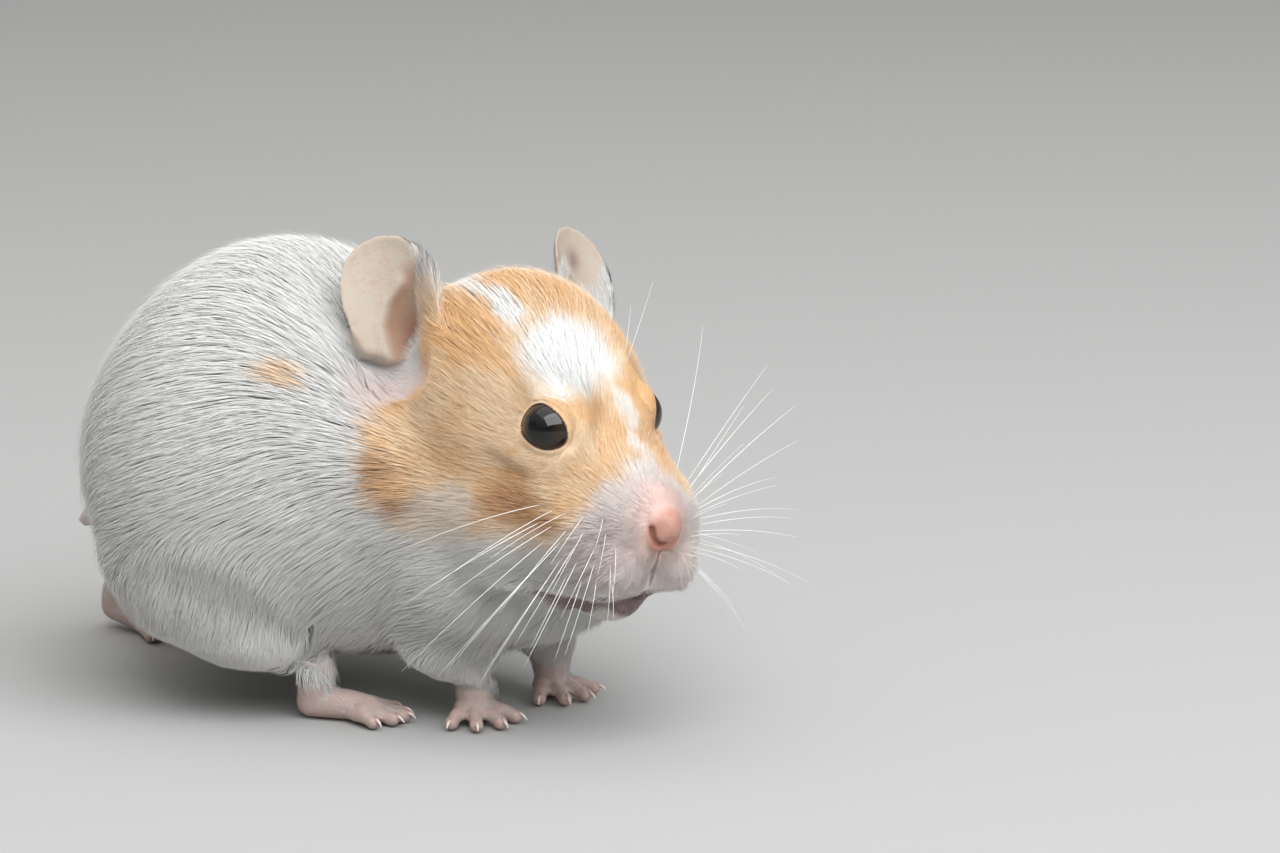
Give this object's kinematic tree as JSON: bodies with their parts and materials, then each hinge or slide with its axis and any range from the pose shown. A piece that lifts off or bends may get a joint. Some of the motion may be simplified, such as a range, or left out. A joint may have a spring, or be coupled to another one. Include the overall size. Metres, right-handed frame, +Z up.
{
  "type": "syrian hamster",
  "caption": "Life-size still model of a young Syrian hamster in a slow walk, white with a golden face mask, dark eyes, large ears and pink feet.",
  "frame": {"origin": "middle of the animal's box, on the floor it stands on", "axes": "+X forward along the trunk, +Y to the animal's left, +Z up; the head is turned to the animal's right"},
  "size_m": [0.1004, 0.0562, 0.0629],
  "materials": {
    "white_coat": "dense plush white fur with warm grey shading",
    "golden_coat": "short apricot fur with a white blaze and fine dark ticking",
    "ear_skin": "thin beige-pink ear skin with fine down",
    "pink_skin": "bare pink skin with sparse white hair",
    "nose_skin": "moist pink nose pad",
    "lip_skin": "dark purplish lip skin",
    "eye": "glossy black"
  },
  "bodies": {
    "root": {"trunk": "white_coat", "neck": "white_coat", "head": "golden_coat", "lower_jaw": "lip_skin", "nose": "nose_skin", "ear_right": "ear_skin", "ear_left": "ear_skin", "eye_right": "eye", "eye_left": "eye", "foreleg_right": "white_coat", "forefoot_right": "pink_skin", "foreleg_left": "white_coat", "forefoot_left": "pink_skin", "hindleg_right": "white_coat", "hindfoot_right": "pink_skin", "hindleg_left": "white_coat", "hindfoot_left": "pink_skin", "tail": "pink_skin"}
  },
  "joints": []
}
